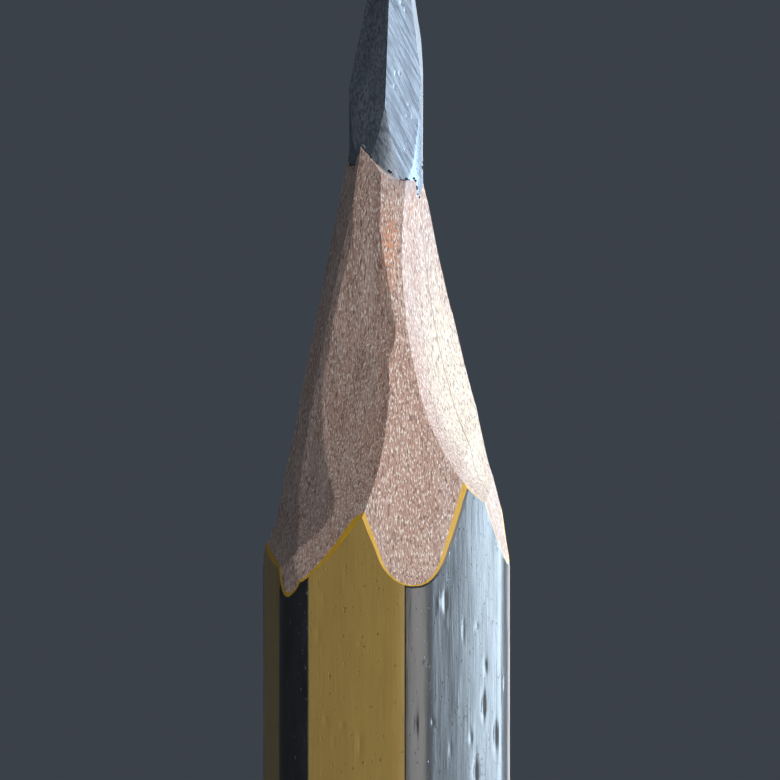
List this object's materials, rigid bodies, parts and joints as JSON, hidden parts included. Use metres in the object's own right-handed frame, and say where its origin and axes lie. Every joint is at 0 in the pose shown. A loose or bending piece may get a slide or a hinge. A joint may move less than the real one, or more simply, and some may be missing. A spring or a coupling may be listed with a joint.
{
  "type": "pencil",
  "caption": "Hexagonal wood-cased graphite pencil with yellow and black lacquer, sharpened by knife to a long faceted point.",
  "frame": {"origin": "centre of the flat dipped back end, which is the pencil's lowest point when it stands on it", "axes": "+Z along the pencil toward the graphite point; +X through the corner between two glued casing halves; -Y out of the yellow face seen in the picture"},
  "size_m": [0.0078, 0.0072, 0.175],
  "materials": {
    "wood": "raw, knife-cut",
    "glue": "matte",
    "graphite": "burnished, scratched",
    "yellow_lacquer": "glossy, worn",
    "black_lacquer": "glossy, worn",
    "dip_lacquer": "glossy"
  },
  "bodies": {
    "root": {"casing_half_front": "wood", "casing_half_back": "wood", "glue_seam_left": "glue", "glue_seam_right": "glue", "graphite_core": "graphite", "base_coat_yellow": "yellow_lacquer", "stripe_face_right": "black_lacquer", "stripe_face_left": "black_lacquer", "stripe_edge_left": "black_lacquer", "stripe_edge_right": "black_lacquer", "end_dip": "dip_lacquer"}
  },
  "joints": []
}
